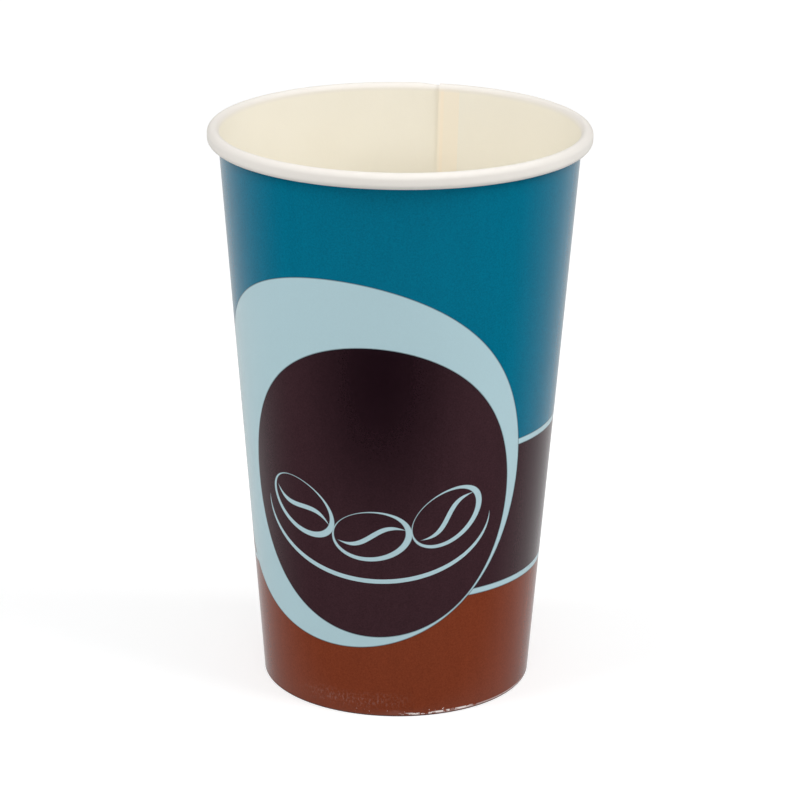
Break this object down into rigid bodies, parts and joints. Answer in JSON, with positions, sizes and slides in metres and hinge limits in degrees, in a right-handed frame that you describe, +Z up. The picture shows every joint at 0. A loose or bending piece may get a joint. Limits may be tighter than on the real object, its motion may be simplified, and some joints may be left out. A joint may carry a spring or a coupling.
{
  "type": "paper cup",
  "caption": "Tapered paper cup for hot drinks with a rolled rim, a lapped side seam and a recessed base gripped in a folded foot.",
  "frame": {"origin": "centre of the foot, in the plane it stands on", "axes": "+Z up along the cup's axis, -Y to the printed front, the side seam at the back towards +Y and a little towards +X"},
  "size_m": [0.09, 0.09, 0.136],
  "materials": {
    "printed_board": "satin print outside, smooth coated board inside",
    "base_board": "smooth coated board"
  },
  "bodies": {
    "root": {"sidewall": "printed_board", "base_disc": "base_board"}
  },
  "joints": []
}
